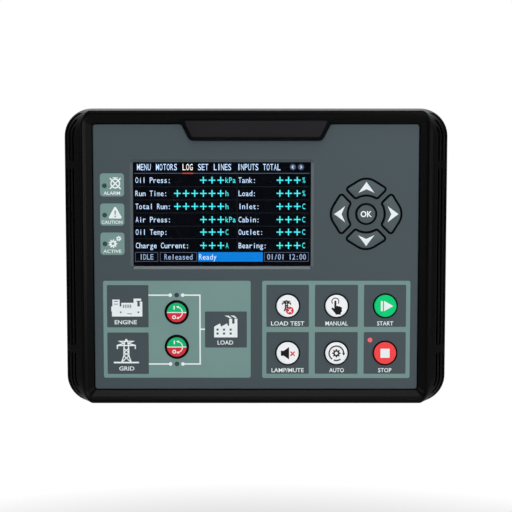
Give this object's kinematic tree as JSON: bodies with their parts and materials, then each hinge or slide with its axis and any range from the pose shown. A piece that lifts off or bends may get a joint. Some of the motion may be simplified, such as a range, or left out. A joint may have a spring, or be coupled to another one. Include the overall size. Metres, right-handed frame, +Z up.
{
  "type": "genset controller",
  "caption": "Panel-mounted generator set controller with a ribbed bezel, colour display, direction pad and sprung command and breaker keys, and pluggable terminals behind.",
  "frame": {"origin": "centre of the gasket's rear face, where it meets the panel", "axes": "+X to the right seen from the front, +Y into the panel, +Z up"},
  "size_m": [0.2412, 0.053, 0.187],
  "materials": {
    "bezel_black": "fine satin moulded black",
    "face_grey": "fine matt grey film",
    "window_clear": "clear polished",
    "seal_foam": "matt foam",
    "display_glass": "dark glass",
    "tray_steel": "folded steel",
    "flex_amber": "amber film",
    "connector_cream": "moulded",
    "silicone_black": "matt silicone",
    "key_grey": "matt",
    "key_white": "matt",
    "key_green": "matt",
    "key_red": "matt",
    "key_black": "matt",
    "lens_dark": "clouded lens",
    "lens_red": "lit lens",
    "led_cream": "cast resin",
    "board_green": "solder mask",
    "screw_steel": "plated",
    "part_black": "moulded",
    "relay_blue": "moulded",
    "can_dark": "sleeved can",
    "coil_copper": "enamelled wire",
    "cell_steel": "pressed can",
    "header_green": "moulded",
    "terminal_green": "moulded",
    "housing_black": "fine spark texture"
  },
  "bodies": {
    "housing": {"front_bezel": "bezel_black", "faceplate": "face_grey", "display_window": "window_clear", "keymat": "silicone_black", "terminal_headers": "header_green", "upper_left_plug": "terminal_green", "upper_right_plug": "terminal_green", "lower_left_plug": "terminal_green", "lower_middle_plug": "terminal_green", "usb_socket": "screw_steel", "panel_gasket": "seal_foam", "rear_cover": "housing_black", "cover_screws": "screw_steel", "window_seal": "seal_foam", "display_panel": "display_glass", "display_frame": "tray_steel", "display_flex": "flex_amber", "flex_connector": "connector_cream", "status_lenses": "lens_dark", "breaker_lenses": "lens_dark", "stop_lens": "lens_red", "indicator_leds": "led_cream", "front_board": "board_green", "front_board_screws": "screw_steel", "board_link": "part_black", "main_board": "board_green", "main_board_screws": "screw_steel", "processor": "part_black", "output_relays": "relay_blue", "supply_capacitors": "can_dark", "supply_inductor": "coil_copper", "alarm_buzzer": "part_black", "clock_battery": "cell_steel", "battery_holder": "part_black"},
    "up_key": {"up_key": "key_grey"},
    "right_key": {"right_key": "key_grey"},
    "down_key": {"down_key": "key_grey"},
    "left_key": {"left_key": "key_grey"},
    "ok_key": {"ok_key": "key_grey"},
    "test_key": {"test_key": "key_white"},
    "manual_key": {"manual_key": "key_white"},
    "start_key": {"start_key": "key_green"},
    "mute_key": {"mute_key": "key_white"},
    "auto_key": {"auto_key": "key_white"},
    "stop_key": {"stop_key": "key_red"},
    "gen_breaker_key": {"gen_breaker_key": "key_black"},
    "mains_breaker_key": {"mains_breaker_key": "key_black"}
  },
  "joints": [
    {"name": "up_key_press", "type": "slide", "parent": "housing", "child": "up_key", "axis": [0, 1, 0], "range_m": [0, 0.001], "stiffness_N_per_m": 1500, "deforming": ["keymat"]},
    {"name": "right_key_press", "type": "slide", "parent": "housing", "child": "right_key", "axis": [0, 1, 0], "range_m": [0, 0.001], "stiffness_N_per_m": 1500, "deforming": ["keymat"]},
    {"name": "down_key_press", "type": "slide", "parent": "housing", "child": "down_key", "axis": [0, 1, 0], "range_m": [0, 0.001], "stiffness_N_per_m": 1500, "deforming": ["keymat"]},
    {"name": "left_key_press", "type": "slide", "parent": "housing", "child": "left_key", "axis": [0, 1, 0], "range_m": [0, 0.001], "stiffness_N_per_m": 1500, "deforming": ["keymat"]},
    {"name": "ok_key_press", "type": "slide", "parent": "housing", "child": "ok_key", "axis": [0, 1, 0], "range_m": [0, 0.001], "stiffness_N_per_m": 1500, "deforming": ["keymat"]},
    {"name": "test_key_press", "type": "slide", "parent": "housing", "child": "test_key", "axis": [0, 1, 0], "range_m": [0, 0.001], "stiffness_N_per_m": 1500, "deforming": ["keymat"]},
    {"name": "manual_key_press", "type": "slide", "parent": "housing", "child": "manual_key", "axis": [0, 1, 0], "range_m": [0, 0.001], "stiffness_N_per_m": 1500, "deforming": ["keymat"]},
    {"name": "start_key_press", "type": "slide", "parent": "housing", "child": "start_key", "axis": [0, 1, 0], "range_m": [0, 0.001], "stiffness_N_per_m": 1500, "deforming": ["keymat"]},
    {"name": "mute_key_press", "type": "slide", "parent": "housing", "child": "mute_key", "axis": [0, 1, 0], "range_m": [0, 0.001], "stiffness_N_per_m": 1500, "deforming": ["keymat"]},
    {"name": "auto_key_press", "type": "slide", "parent": "housing", "child": "auto_key", "axis": [0, 1, 0], "range_m": [0, 0.001], "stiffness_N_per_m": 1500, "deforming": ["keymat"]},
    {"name": "stop_key_press", "type": "slide", "parent": "housing", "child": "stop_key", "axis": [0, 1, 0], "range_m": [0, 0.001], "stiffness_N_per_m": 1500, "deforming": ["keymat"]},
    {"name": "gen_breaker_key_press", "type": "slide", "parent": "housing", "child": "gen_breaker_key", "axis": [0, 1, 0], "range_m": [0, 0.001], "stiffness_N_per_m": 1500, "deforming": ["keymat"]},
    {"name": "mains_breaker_key_press", "type": "slide", "parent": "housing", "child": "mains_breaker_key", "axis": [0, 1, 0], "range_m": [0, 0.001], "stiffness_N_per_m": 1500, "deforming": ["keymat"]}
  ]
}
